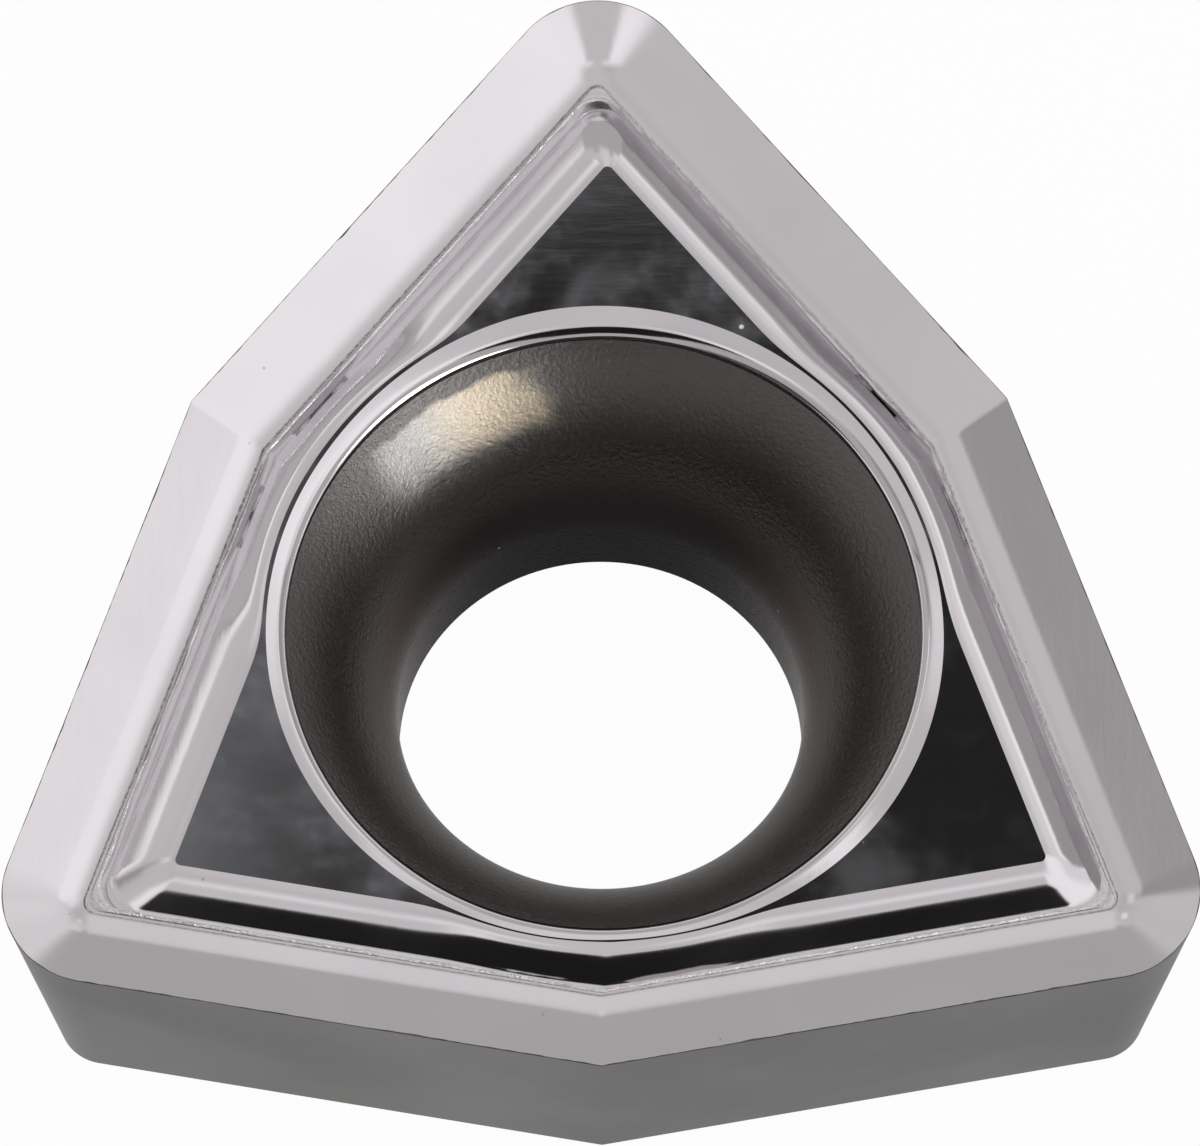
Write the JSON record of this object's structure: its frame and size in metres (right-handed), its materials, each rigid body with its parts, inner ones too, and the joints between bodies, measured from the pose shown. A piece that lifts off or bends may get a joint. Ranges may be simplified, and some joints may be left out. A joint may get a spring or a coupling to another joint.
{
  "type": "carbide turning insert",
  "caption": "Trigon turning insert of sintered carbide, with rounded corners, flanks that lean in, a polished chipbreaker and a countersunk screw hole.",
  "frame": {"origin": "centre of the screw hole in the flat seat face", "axes": "+Z along the hole and out of the top face, +Y towards one of the cutting corners"},
  "size_m": [0.0102, 0.0097, 0.0032],
  "materials": {
    "carbide": "polished top, satin ground flanks, matte sintered hole"
  },
  "bodies": {
    "root": {"insert_body": "carbide"}
  },
  "joints": []
}
